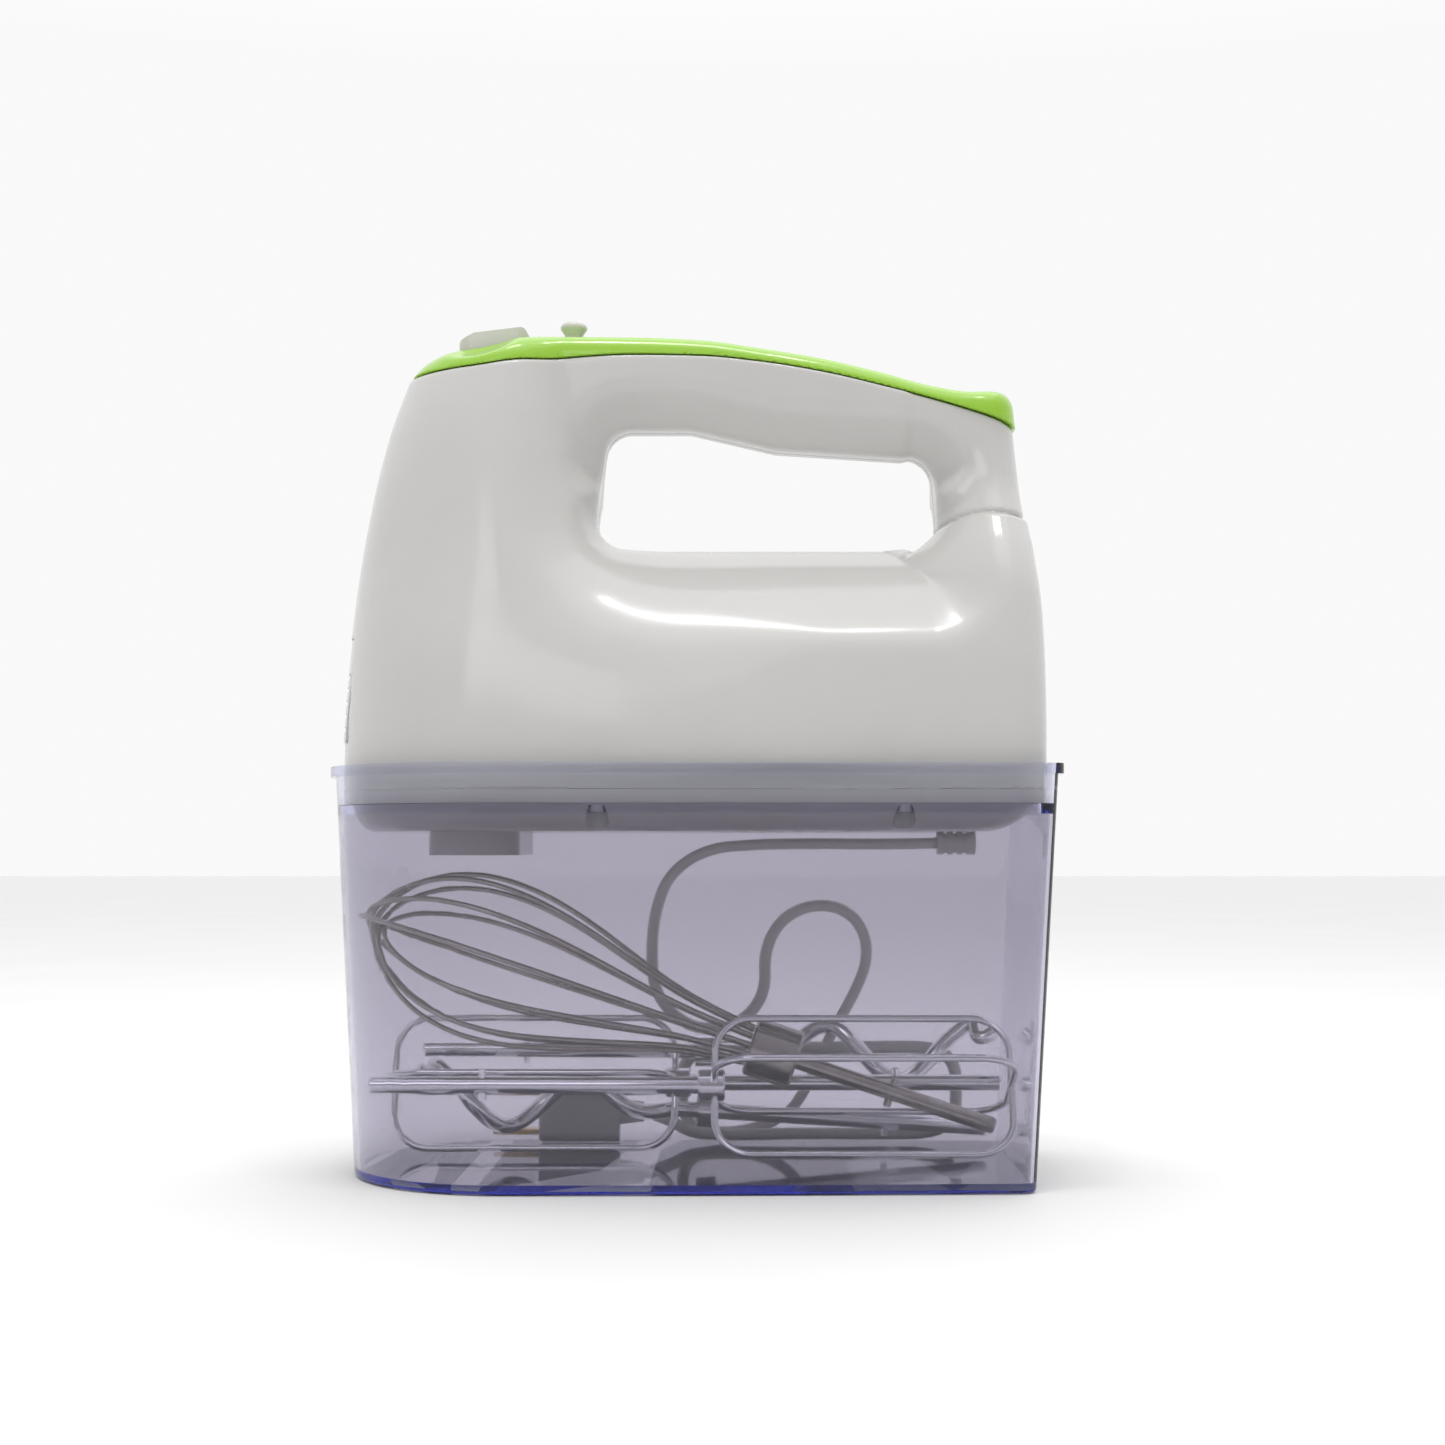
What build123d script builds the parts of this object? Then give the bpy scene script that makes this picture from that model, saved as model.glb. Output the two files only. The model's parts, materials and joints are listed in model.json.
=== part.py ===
from build123d import *
from math import cos, sin, tan, pi, radians, sqrt
import os

# Hand mixer resting on its clear storage case, in millimetres.
# +Z is up, the nose points to -X, the origin is the centre of the case's underside.

# ---- storage case ----
CASE_HEIGHT = 123.4
CASE_WALL = 1.8
CASE_FLOOR = 3.0
CASE_LEDGE_Z = 112.0
CASE_LEDGE = 2.6
CASE_LEDGE_HEIGHT = 3.0
CASE_RIM = (-106.4, 108.2, 52.6, 48.8)      # x front, x rear, half width amidships, half width rear
CASE_BASE = (-100.8, 102.2, 48.8, 45.4)
CASE_NOSE = 50.0
LIP_OUT = 1.6
LIP_HEIGHT = 3.0

# ---- mixer housing ----
SHELL_WALL = 2.6
SHELL_BOTTOM_Z = 116.0
SEAM_Y = 0.0
LOWER_SECTIONS = (                           # z, x front, x rear, half width, half width rear
    (112.5, -103.8, 105.6, 49.9, 46.4),
    (130.0, -103.8, 106.2, 49.4, 45.8),
    (146.0, -103.0, 106.4, 47.0, 43.0),
    (160.0, -101.8, 106.2, 41.0, 37.0),
    (175.0, -100.0, 105.4, 31.0, 27.5),
    (190.5, -97.8, 104.4, 21.5, 19.0),
)
COLUMN_SECTIONS = (                          # z, x front, x rear, half width
    (114.0, -103.7, -14.0, 49.6),
    (146.0, -103.0, -15.0, 46.8),
    (175.0, -100.0, -20.0, 41.0),
    (205.0, -95.2, -26.0, 34.5),
    (230.0, -88.6, -29.0, 28.0),
    (262.0, -78.0, -29.0, 20.0),
)
HANDLE_HALF_WIDTH = 17.0
HANDLE_ROUND = 7.0
FRONT_PROFILE = ((-104.0, 112.0), (-103.6, 132.0), (-102.4, 155.0), (-99.6, 180.0),
                 (-95.0, 206.0), (-90.3, 224.6), (-84.2, 241.8))
TOP_PROFILE = ((-84.2, 241.8), (-62.0, 242.8), (-45.0, 245.2), (-14.0, 247.3), (5.0, 247.0),
               (23.0, 245.3), (42.0, 242.2), (60.0, 238.0), (76.0, 233.8), (101.0, 226.0))
REAR_PROFILE = ((101.0, 226.0), (103.2, 203.0), (105.0, 184.0), (106.2, 164.0), (106.4, 140.0),
                (106.0, 112.0))
TRIM_PROFILE = ((-84.2, 241.8), (-80.0, 246.4), (-66.0, 249.4), (-50.0, 252.6), (-38.0, 253.6),
                (-14.0, 253.4), (5.0, 252.6), (23.0, 250.2), (42.0, 247.0), (60.0, 242.8),
                (76.0, 238.6), (86.0, 237.2), (97.5, 238.6), (101.0, 226.0))
HOLE_CORNERS = ((-27.5, 190.5), (77.0, 190.5), (74.5, 217.5), (28.0, 220.5), (2.0, 226.5),
                (-23.0, 226.5))
REAR_SEAM_Z = 197.0
SEAM_GROOVE = 0.7
VENT_LOW_Z = 131.0
VENT_HIGH_Z = 162.0
VENT_HALF_WIDTH = 17.0
COVER_SCREWS = ((-24.0, 44.2), (64.0, 42.2))
SCREW_HEAD_Z = 111.5

# ---- bottom cover ----
HULL_BOTTOM_Z = 104.0
HULL_WALL = 2.2
BOSS_X = -62.0
BOSS_BOTTOM_Z = 97.0
BOSS_LENGTH = 27.0
BOSS_WIDTH = 58.0

# ---- drive train ----
SHAFT_Z = 150.0
SPINDLE_X = -62.0
SPINDLE_Y = 17.5
SPINDLE_BOTTOM_Z = 98.0
SPINDLE_TOP_Z = 172.0
SOCKET_RADIUS = 3.3
SOCKET_TOP_Z = 134.0
SOCKET_WALL_RADIUS = 6.0
SPINDLE_RADIUS = 4.4
PUSH_BORE_RADIUS = 2.6
WHEEL_RADIUS = 11.6
WHEEL_TEETH = 24
WHEEL_WIDTH = 9.0
TOOTH_HEIGHT = 1.6
RUNNING_GAP = 0.05
WORM_RADIUS = 5.0
MOTOR_SHAFT_RADIUS = 2.5
STATOR_X = (2.0, 40.0)
STATOR_RADIUS = 26.0
STATOR_BORE = 16.6
ARMATURE_RADIUS = 16.0
GEARBOX_BASE_Z = 126.0
GEARBOX_BASE_THICK = 7.0
GEARBOX_TOP_Z = 162.0
GEARBOX_TOP_THICK = 5.0
BUSH_RADIUS = 4.6
SPINDLE_BUSH_RADIUS = 8.2
PILLARS = ((-80.0, -24.0), (-80.0, 24.0), (-44.0, -24.0), (-44.0, 24.0))

# ---- controls ----
EJECT_X = -57.6
EJECT_LENGTH = 22.0
EJECT_HALF_WIDTH = 8.6
EJECT_TOP_Z = 257.4
EJECT_TRAVEL = 6.0
BUTTON_WELL_Z = 238.0
YOKE_Z = 182.0
YOKE_THICK = 4.0
KNOB_X = -34.0
KNOB_TOP_Z = 261.2
KNOB_TRAVEL = 14.0
TURBO_X = -11.5
TURBO_RADIUS = 3.6
TURBO_TRAVEL = 1.6
TURBO_TOP_Z = 254.6
TURBO_FLOOR_Z = 250.6

# ---- accessories ----
ROD_RADIUS = 2.5
BEATER_LENGTH = 191.0
BEATER_SHAFT = 101.0
BEATER_WIRE = 1.1
LOOP_CORNER = 11.0
DRIVE_PIN_AT = 33.0
WHISK_LENGTH = 204.0
WHISK_SHAFT = 63.0
FERRULE_LENGTH = 15.0
WHISK_WIRE = 0.8
WHISK_LOOPS = 6
FERRULE_RADIUS = 9.0
HOOK_LENGTH = 182.0

# ---- cord ----
RELIEF_Y = 24.0
RELIEF_Z = 100.6
RELIEF_RADIUS = 3.6
CORD_DIAMETER = 5.0
CORD_ROUTE = ((80.0, 24.0, 100.6), (62.0, 24.6, 100.2), (42.0, 27.0, 100.5), (22.0, 30.5, 100.2),
              (6.0, 33.0, 98.8), (-6.0, 34.6, 90.5), (-10.6, 35.6, 77.5), (-11.6, 36.2, 64.0),
              (-10.2, 36.6, 50.8), (0.4, 37.0, 40.4), (15.2, 37.4, 40.2), (25.8, 37.8, 50.8),
              (25.0, 38.4, 66.5), (32.5, 38.9, 78.0), (46.0, 39.4, 81.3), (56.5, 39.9, 75.5),
              (59.5, 40.3, 63.5), (54.5, 40.8, 51.0), (46.5, 41.2, 37.5))
HANK_X = (-4.0, 90.0)
HANK_Y = (34.2, 44.2)
HANK_Z = (3.4, 37.0)
HANK_ROUND = 15.0
TAIL_ROUTE = ((12.0, 38.2, 5.9), (2.0, 38.8, 6.5), (-6.0, 39.7, 11.0), (-14.0, 39.9, 13.0))
PLUG_AT = (-14.0, 39.9, 13.0)
PLUG_LENGTH = 26.0
PLUG_WIDTH = 19.0
PLUG_THICK = 11.6
PLUG_TAIL = 8.0
BLADE_LENGTH = 15.0
BLADE_SPACING = 12.7
BLADE_WIDTH = 6.2
BLADE_THICK = 1.6


def smooth_line(points):
    """A spline through points given as pairs."""
    return Spline(*points)


def plan_face(z, x_front, x_rear, half, half_rear, nose, corner):
    """Closed plan outline: elliptical nose, bowed sides and a squared rear end."""
    start = x_front + nose
    front = EllipticalCenterArc((start, 0), nose, half, start_angle=90, arc_size=180)
    left = TangentArc((start, half), (x_rear, half_rear), tangent=(1, 0))
    right = TangentArc((start, -half), (x_rear, -half_rear), tangent=(1, 0))
    back = Line((x_rear, half_rear), (x_rear, -half_rear))
    face = make_face([front, left, back, right])
    face = fillet(face.vertices().group_by(Axis.X)[-1], corner)
    return Pos(0, 0, z) * face


def side_slab(face, half_width=70.0):
    """A side-view face, drawn as (x, z), made into a slab across the whole width."""
    return extrude(Plane.XZ * face, amount=half_width, both=True)


def wire(radius, path):
    """A round wire along a path."""
    return sweep(Plane(origin=path @ 0, z_dir=path % 0) * Circle(radius), path=path)


def tube(z_low, z_high, outer, inner, x=0.0, y=0.0):
    """An upright tube."""
    height = z_high - z_low
    ring = Cylinder(outer, height) - Cylinder(inner, height + 1)
    return Pos(x, y, (z_low + z_high) / 2) * ring


def post(z_low, z_high, radius, x=0.0, y=0.0):
    """An upright round post."""
    return Pos(x, y, (z_low + z_high) / 2) * Cylinder(radius, z_high - z_low)


def x_cylinder(x_low, x_high, radius, y=0.0, z=SHAFT_Z):
    """A round bar along X."""
    return Pos((x_low + x_high) / 2, y, z) * Rot(0, 90, 0) * Cylinder(radius, x_high - x_low)


def block(low, high):
    """A box from its lowest to its highest corner."""
    size = [b - a for a, b in zip(low, high)]
    centre = [(a + b) / 2 for a, b in zip(low, high)]
    return Pos(*centre) * Box(*size)


# ---------------------------------------------------------------- storage case
def case_outline(z, inset):
    """Plan of the case at height z, drawn in from its outer wall by inset."""
    share = z / CASE_HEIGHT
    front, rear, half, half_rear = (a + (b - a) * share for a, b in zip(CASE_BASE, CASE_RIM))
    return plan_face(z, front + inset, rear - inset, half - inset, half_rear - inset,
                     CASE_NOSE - inset, 5.0 - min(inset, 3.4))


def make_case():
    outer = loft([case_outline(0, 0), case_outline(CASE_HEIGHT, 0)], ruled=True)
    outer = fillet(outer.faces().sort_by(Axis.Z)[0].edges(), 1.5)
    lip_low = case_outline(CASE_HEIGHT - LIP_HEIGHT, -LIP_OUT)
    outer += extrude(lip_low, amount=LIP_HEIGHT)
    hollow = loft([case_outline(CASE_FLOOR, CASE_WALL), case_outline(CASE_HEIGHT + 2, CASE_WALL)],
                  ruled=True)
    case = outer - hollow
    ledge_low = CASE_LEDGE_Z - CASE_LEDGE_HEIGHT
    inside = case_outline(ledge_low, CASE_WALL + CASE_LEDGE)
    ledge = extrude(case_outline(ledge_low, CASE_WALL - 0.6) - inside, amount=CASE_LEDGE_HEIGHT)
    return case + ledge


# ---------------------------------------------------------------- mixer housing
def inset_profile(points, inset):
    """Profile points moved inwards, square to the line through their neighbours."""
    moved = []
    for i, (x, z) in enumerate(points):
        x0, z0 = points[max(i - 1, 0)]
        x1, z1 = points[min(i + 1, len(points) - 1)]
        length = sqrt((x1 - x0) ** 2 + (z1 - z0) ** 2)
        moved.append((x + inset * (z1 - z0) / length, z - inset * (x1 - x0) / length))
    return moved


def side_outline(inset):
    """Side view of the housing with the finger gap left open."""
    chain = inset_profile(FRONT_PROFILE + TOP_PROFILE[1:] + REAR_PROFILE[1:], inset)
    nose_tip = len(FRONT_PROFILE)
    heel = nose_tip + len(TOP_PROFILE) - 1
    front = smooth_line(chain[:nose_tip])
    top = smooth_line(chain[nose_tip - 1:heel])
    rear = smooth_line(chain[heel - 1:])
    face = make_face([front, top, rear, Line(rear @ 1, front @ 0)])
    hole = make_face(FilletPolyline(*HOLE_CORNERS, radius=8.0, close=True))
    if inset:
        hole = offset(hole, amount=inset)
    return face - hole


def upper_form(inset):
    """Nose column and handle bar, both reaching above the top trim."""
    column = loft([plan_face(z - inset * (i == 0), a + inset, b - inset, h - inset, h * 0.62 - inset,
                             46.0 - inset, 9.0 - inset)
                   for i, (z, a, b, h) in enumerate(COLUMN_SECTIONS)])
    half = HANDLE_HALF_WIDTH - inset
    bar = block((-45, -half, 182), (108 - inset, half, 262))
    bar = fillet(bar.edges().filter_by(Axis.X).group_by(Axis.Z)[0], HANDLE_ROUND - inset)
    return column + bar


def housing_form(inset):
    """The housing's solid form, drawn in by inset."""
    lower = loft([plan_face(z - inset * (i == 0), a + inset, b - inset, h - inset, r - inset,
                            50.0 - inset, 9.0 - inset)
                  for i, (z, a, b, h, r) in enumerate(LOWER_SECTIONS)])
    return (lower + upper_form(inset)) & side_slab(side_outline(inset))


def control_openings(gap):
    """Openings for the eject button's stem, the knob's stem and the turbo button's stem."""
    stem = block((EJECT_X - 3 - gap, -3 - gap, 225), (EJECT_X + 3 + gap, 3 + gap, 262))
    slot = block((KNOB_X - 2 - gap, -2 - gap, 235), (KNOB_X + KNOB_TRAVEL + 2 + gap, 2 + gap, 262))
    return stem + slot + post(235, 262, 1.8 + gap, TURBO_X)


def button_well():
    """The opening that the eject button slides in, through the trim and the shells' top."""
    return block((EJECT_X - EJECT_LENGTH / 2 - 0.5, -EJECT_HALF_WIDTH - 0.5, BUTTON_WELL_Z),
                 (EJECT_X + EJECT_LENGTH / 2 + 0.5, EJECT_HALF_WIDTH + 0.5, 262))


def screw_places():
    """Places of the screws that hold the bottom cover."""
    return [(x, side * y) for x, y in COVER_SCREWS for side in (-1, 1)]


def make_shells():
    """Left and right half shells with screw bosses and the rear leg's seam."""
    form = housing_form(0)
    bosses = Part() + [post(SHELL_BOTTOM_Z, 130, 3.8, x, y) for x, y in screw_places()]
    shell = form - housing_form(SHELL_WALL) + (bosses & form)
    shell -= block((-120, -80, 100), (120, 80, SHELL_BOTTOM_Z))
    shell -= control_openings(0.6) + button_well()
    shell -= Part() + [post(110, 126, 1.5, x, y) for x, y in screw_places()]
    seam = block((70, -40, REAR_SEAM_Z), (115, 40, REAR_SEAM_Z + SEAM_GROOVE))
    shell -= seam - housing_form(SEAM_GROOVE)
    vent = block((-112, -VENT_HALF_WIDTH, VENT_LOW_Z), (-98.8, VENT_HALF_WIDTH, VENT_HIGH_Z))
    shell -= vent
    left = shell & block((-120, -80, 100), (120, SEAM_Y, 270))
    right = shell & block((-120, SEAM_Y, 100), (120, 80, 270))
    return left, right


def make_nose_vent():
    """Slotted vent plate let into the nose."""
    gap = 0.25
    half = VENT_HALF_WIDTH - gap
    low = (-112, -half, VENT_LOW_Z + gap)
    plate = block(low, (-98.8, half, VENT_HIGH_Z - gap)) & (housing_form(0) - housing_form(SHELL_WALL))
    slots = Part() + [block((-112, side * 8.5 - 6.5, z), (-95, side * 8.5 + 6.5, z + 1.6))
                      for side in (-1, 1) for z in (134, 138, 142, 146, 150)]
    return plate - slots


def make_top_trim():
    """Trim strip over the nose and handle, flush with the housing's sides."""
    under = smooth_line(TOP_PROFILE)
    over = smooth_line(TRIM_PROFILE)
    strip = upper_form(0) & side_slab(make_face([under, over]))
    pocket = post(TURBO_FLOOR_Z, 262, TURBO_RADIUS + 0.4, TURBO_X)
    return strip - button_well() - pocket - control_openings(0.6)


# ---------------------------------------------------------------- bottom cover
def make_bottom_cover():
    """Shallow hull under the motor with the socket boss at its front."""
    def hull(inset):
        rings = ((HULL_BOTTOM_Z + inset, -95.0, 90.0, 39.0, 35.0), (108.0, -100.0, 99.0, 45.2, 42.0),
                 (112.0 + inset, -101.2, 102.6, 47.0, 43.6))
        bowl = loft([plan_face(z, a + inset, b - inset, h - inset, r - inset, 48.0 - inset, 8.0 - inset)
                     for z, a, b, h, r in rings])
        edge = plan_face(112.0, -103.7 + inset, 105.4 - inset, 49.8 - inset, 46.2 - inset, 50.0 - inset,
                         8.0 - inset)
        return bowl + extrude(edge, amount=SHELL_BOTTOM_Z - 112.0 + inset)
    boss = block((BOSS_X - BOSS_LENGTH / 2, -BOSS_WIDTH / 2, BOSS_BOTTOM_Z),
                 (BOSS_X + BOSS_LENGTH / 2, BOSS_WIDTH / 2, HULL_BOTTOM_Z + HULL_WALL))
    boss = fillet(boss.edges().filter_by(Axis.Z), 9.0)
    cover = hull(0) - hull(HULL_WALL) + boss
    wells = Part() + [post(105.5, SHELL_BOTTOM_Z, 4.2, x, y) for x, y in screw_places()]
    cover += wells & hull(0)
    cover -= Part() + [post(90, 112, SOCKET_WALL_RADIUS + 1.0, SPINDLE_X, y)
                       for y in (-SPINDLE_Y, SPINDLE_Y)]
    for x, y in screw_places():
        cover -= post(100, SCREW_HEAD_Z, 3.3, x, y) + post(100, 120, 1.6, x, y)
    cover -= Part() + [block((x, -16, 100), (x + 2.2, 16, 112)) for x in (10, 16, 22, 28, 34, 40)]
    cover -= x_cylinder(70, 97, RELIEF_RADIUS, RELIEF_Y, RELIEF_Z)
    return cover


def make_cover_screws():
    """Pan-head screws that hold the cover to the shells."""
    screws = Part()
    for x, y in screw_places():
        screws += post(SCREW_HEAD_Z - 2.0, SCREW_HEAD_Z, 2.8, x, y) + post(SCREW_HEAD_Z, 125, 1.45, x, y)
        screws -= block((x - 2, y - 0.4, SCREW_HEAD_Z - 2.5), (x + 2, y + 0.4, SCREW_HEAD_Z - 1.2))
    return screws


# ---------------------------------------------------------------- controls
def make_eject_button():
    """Wedge-topped button with a stem down to the ejector yoke."""
    left = EJECT_X - EJECT_LENGTH / 2
    right = EJECT_X + EJECT_LENGTH / 2
    outline = FilletPolyline((left, 246.4), (left, 253.2), (left + 5, 255.6), (right - 2, EJECT_TOP_Z),
                             (right, 254.0), (right, 246.4), radius=1.6, close=True)
    head = side_slab(make_face(outline), EJECT_HALF_WIDTH)
    head &= extrude(Pos(EJECT_X, 0, 240) * RectangleRounded(EJECT_LENGTH, 2 * EJECT_HALF_WIDTH, 4.0),
                    amount=30)
    stem = block((EJECT_X - 3, -3, YOKE_Z + YOKE_THICK), (EJECT_X + 3, 3, 250))
    return head + stem


def make_ejector_yoke():
    """Cross bar under the button's stem with a push pin over each spindle."""
    half = SPINDLE_Y + 5
    bar = block((SPINDLE_X - 5, -half, YOKE_Z), (EJECT_X + 6, half, YOKE_Z + YOKE_THICK))
    bar = fillet(bar.edges().filter_by(Axis.Z), 3.0)
    for y in (-SPINDLE_Y, SPINDLE_Y):
        bar += post(SOCKET_TOP_Z + EJECT_TRAVEL + 1, YOKE_Z, PUSH_BORE_RADIUS - 0.4, SPINDLE_X, y)
    return bar


def make_coil_spring(x, y, low, high, radius, wire_radius, turns):
    """Compression spring standing between two heights."""
    coil = Helix(pitch=(high - low - 2 * wire_radius) / turns, height=high - low - 2 * wire_radius,
                 radius=radius)
    start = Plane(origin=coil @ 0, z_dir=coil % 0)
    spring = sweep(start * Circle(wire_radius), path=coil)
    return Pos(x, y, low + wire_radius) * spring


def make_speed_knob():
    """Bulb-headed slider knob with its stem."""
    profile = make_face([Line((0, 253.9), (3.3, 253.9)), Line((3.3, 253.9), (2.5, 255.4)),
                         Spline((2.5, 255.4), (4.1, 258.6), (0, KNOB_TOP_Z), tangents=[(0.2, 1), (-1, 0)]),
                         Line((0, KNOB_TOP_Z), (0, 253.9))])
    head = revolve(Plane.XZ * profile, axis=Axis.Z)
    stem = block((-1.8, -1.8, 236.6), (1.8, 1.8, 254.5))
    return Pos(KNOB_X, 0, 0) * (head + stem)


def make_switch_carriage():
    """Sliding carriage under the speed knob, with its contact bridge."""
    carriage = block((KNOB_X - 6, -5, 233.6), (KNOB_X + 6, 5, 236.6))
    return carriage + block((KNOB_X - 4, -3, 231.6), (KNOB_X + 4, 3, 233.6))


def make_switch_block():
    """Speed switch body ahead of the finger gap, with its terminals."""
    low_x = KNOB_X - 16
    body = block((low_x, -8, 214), (low_x + 19, 8, 231.2))
    slots = Part() + [block((low_x + 2 + i * 4.5, -5, 230.4), (low_x + 4 + i * 4.5, 5, 232))
                      for i in range(4)]
    pins = Part() + [block((low_x + 1.5 + i * 4.5, -0.4, 208), (low_x + 4 + i * 4.5, 0.4, 214.5))
                     for i in range(4)]
    return body - slots + pins


def make_turbo_button():
    """Low round button with a stem down to the turbo switch."""
    cap = post(TURBO_FLOOR_Z + TURBO_TRAVEL + 0.2, TURBO_TOP_Z, TURBO_RADIUS, TURBO_X)
    cap = fillet(cap.edges().group_by(Axis.Z)[-1], 0.8)
    return cap + post(240.6, TURBO_TOP_Z - 1, 1.6, TURBO_X)


def make_turbo_switch():
    """Small push switch under the turbo button's stem."""
    return block((TURBO_X - 1.5, -4, 232.2), (TURBO_X + 8, 4, 238.2))


# ---------------------------------------------------------------- motor
def make_stator():
    """Stack of laminations with two pole horns."""
    x_low, x_high = STATOR_X
    stack = x_cylinder(x_low, x_high, STATOR_RADIUS) - x_cylinder(x_low - 1, x_high + 1, STATOR_BORE)
    for z in (-1, 1):
        gap = block((x_low - 1, -12, SHAFT_Z + z * 15 - 6), (x_high + 1, 12, SHAFT_Z + z * 15 + 6))
        stack -= gap
    return stack


def make_field_coils():
    """One wound coil above the armature and one below it."""
    x_low, x_high = STATOR_X
    coils = Part()
    for z in (-1, 1):
        middle = SHAFT_Z + z * 19.2
        coils += block((x_low - 5, -11.5, middle - 1.7), (x_high + 5, 11.5, middle + 1.7))
    return coils


def make_armature():
    """Slotted rotor stack."""
    x_low, x_high = STATOR_X
    rotor = x_cylinder(x_low, x_high, ARMATURE_RADIUS)
    slots = Part() + [Pos(0, 0, SHAFT_Z) * Rot(i * 30, 0, 0) * Pos(0, 0, -SHAFT_Z)
                      * block((x_low - 1, -0.9, SHAFT_Z + 10), (x_high + 1, 0.9, SHAFT_Z + 17))
                      for i in range(12)]
    return rotor - slots - x_cylinder(x_low - 1, x_high + 1, MOTOR_SHAFT_RADIUS)


def make_armature_winding():
    """End windings at both faces of the rotor."""
    x_low, x_high = STATOR_X
    ends = Part()
    for start, end in ((x_low - 5, x_low), (x_high, x_high + 4)):
        ring = x_cylinder(start, end, 12.5) - x_cylinder(start - 1, end + 1, MOTOR_SHAFT_RADIUS)
        ends += ring
    return ends


def make_motor_shaft():
    """Steel shaft from the rear bearing to the nose bearing."""
    shaft = x_cylinder(-88, 68, MOTOR_SHAFT_RADIUS)
    return shaft


def make_worm():
    """The worm's plain core on the motor shaft."""
    return x_cylinder(-76, -48, WORM_RADIUS) - x_cylinder(-80, -40, MOTOR_SHAFT_RADIUS)


def make_commutator():
    """Segmented commutator behind the rotor."""
    body = x_cylinder(45, 57, 9.0)
    cuts = Part() + [Pos(0, 0, SHAFT_Z) * Rot(i * 30, 0, 0) * Pos(0, 0, -SHAFT_Z)
                     * block((47, -0.3, SHAFT_Z + 8), (58, 0.3, SHAFT_Z + 9.5)) for i in range(12)]
    return body - cuts - x_cylinder(44, 58, MOTOR_SHAFT_RADIUS)


def make_fan():
    """Cooling fan in front of the rotor."""
    hub = x_cylinder(-24, -14, 6.0)
    disc = x_cylinder(-15.5, -14, 23.0)
    blades = Part() + [Pos(0, 0, SHAFT_Z) * Rot(i * 40, 0, 0) * Pos(0, 0, -SHAFT_Z)
                       * block((-23, -0.6, SHAFT_Z + 5.5), (-15.2, 0.6, SHAFT_Z + 22.5))
                       for i in range(9)]
    return hub + disc + blades - x_cylinder(-30, -10, MOTOR_SHAFT_RADIUS)


def make_brush_holders():
    """Brass holders on both sides of the commutator."""
    holders = Part()
    for side in (-1, 1):
        low, high = sorted((side * 11.0, side * 23.0))
        box = block((48, low, SHAFT_Z - 4), (54, high, SHAFT_Z + 4))
        holders += box - block((49, low - 1, SHAFT_Z - 3), (53, high + 1, SHAFT_Z + 3))
    return holders


def make_brushes():
    """Carbon brushes standing off the commutator by a hair."""
    brushes = Part()
    for side in (-1, 1):
        low, high = sorted((side * 9.3, side * 20.0))
        brushes += block((49.1, low, SHAFT_Z - 2.9), (52.9, high, SHAFT_Z + 2.9))
    return brushes


def make_rear_bracket():
    """Bracket across the motor's rear with the rear bearing's seat."""
    plate = block((60, -27, SHAFT_Z - 7), (64, 27, SHAFT_Z + 7)) + x_cylinder(58.5, 64, 9.0)
    legs = Part() + [block((STATOR_X[1], side * 25.4 - 1.6, SHAFT_Z - 5),
                           (64, side * 25.4 + 1.6, SHAFT_Z + 5)) for side in (-1, 1)]
    legs -= x_cylinder(STATOR_X[0], STATOR_X[1] + 0.01, STATOR_RADIUS + 4)
    return plate + legs - x_cylinder(50, 70, BUSH_RADIUS)


def make_motor_bushes():
    """Bronze bushes for the motor shaft, rear and nose."""
    bushes = Part()
    for low, high in ((58.5, 64.0), (-86.0, -80.0)):
        bushes += (x_cylinder(low, high, BUSH_RADIUS)
                   - x_cylinder(low - 1, high + 1, MOTOR_SHAFT_RADIUS + RUNNING_GAP))
    return bushes


def make_motor_cradle():
    """Saddle on the bottom cover that carries the stator."""
    cradle = Part() + [block((x, -22, HULL_BOTTOM_Z + HULL_WALL), (x + 4, 22, SHAFT_Z - 8))
                       for x in (6, 32)]
    cradle += block((6, -20, HULL_BOTTOM_Z + HULL_WALL), (36, 20, HULL_BOTTOM_Z + HULL_WALL + 2))
    cradle -= Part() + [block((x, -16, 100), (x + 2.2, 16, 112)) for x in (10, 16, 22, 28, 34, 40)]
    return cradle - x_cylinder(0, 50, STATOR_RADIUS)


# ---------------------------------------------------------------- gearbox
def make_gearbox_base():
    """Lower bearing plate with four pillars and the nose bearing's post."""
    top = GEARBOX_BASE_Z + GEARBOX_BASE_THICK
    plate = block((-86, -29, GEARBOX_BASE_Z), (-38, 29, top))
    plate = fillet(plate.edges().filter_by(Axis.Z), 8.0)
    for x, y in PILLARS:
        plate += post(HULL_BOTTOM_Z + HULL_WALL, GEARBOX_TOP_Z, 3.0, x, y)
    plate += block((-86, -7, GEARBOX_BASE_Z), (-80, 7, SHAFT_Z + 7))
    plate -= x_cylinder(-90, -79, BUSH_RADIUS)
    for y in (-SPINDLE_Y, SPINDLE_Y):
        plate -= post(100, 160, SPINDLE_BUSH_RADIUS, SPINDLE_X, y)
    return plate


def make_gearbox_top():
    """Upper bearing plate over the worm wheels."""
    top = GEARBOX_TOP_Z + GEARBOX_TOP_THICK
    plate = block((-84, -27, GEARBOX_TOP_Z), (-40, 27, top))
    plate = fillet(plate.edges().filter_by(Axis.Z), 9.0)
    for y in (-SPINDLE_Y, SPINDLE_Y):
        plate -= post(150, 180, SPINDLE_RADIUS + RUNNING_GAP, SPINDLE_X, y)
    return plate


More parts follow.
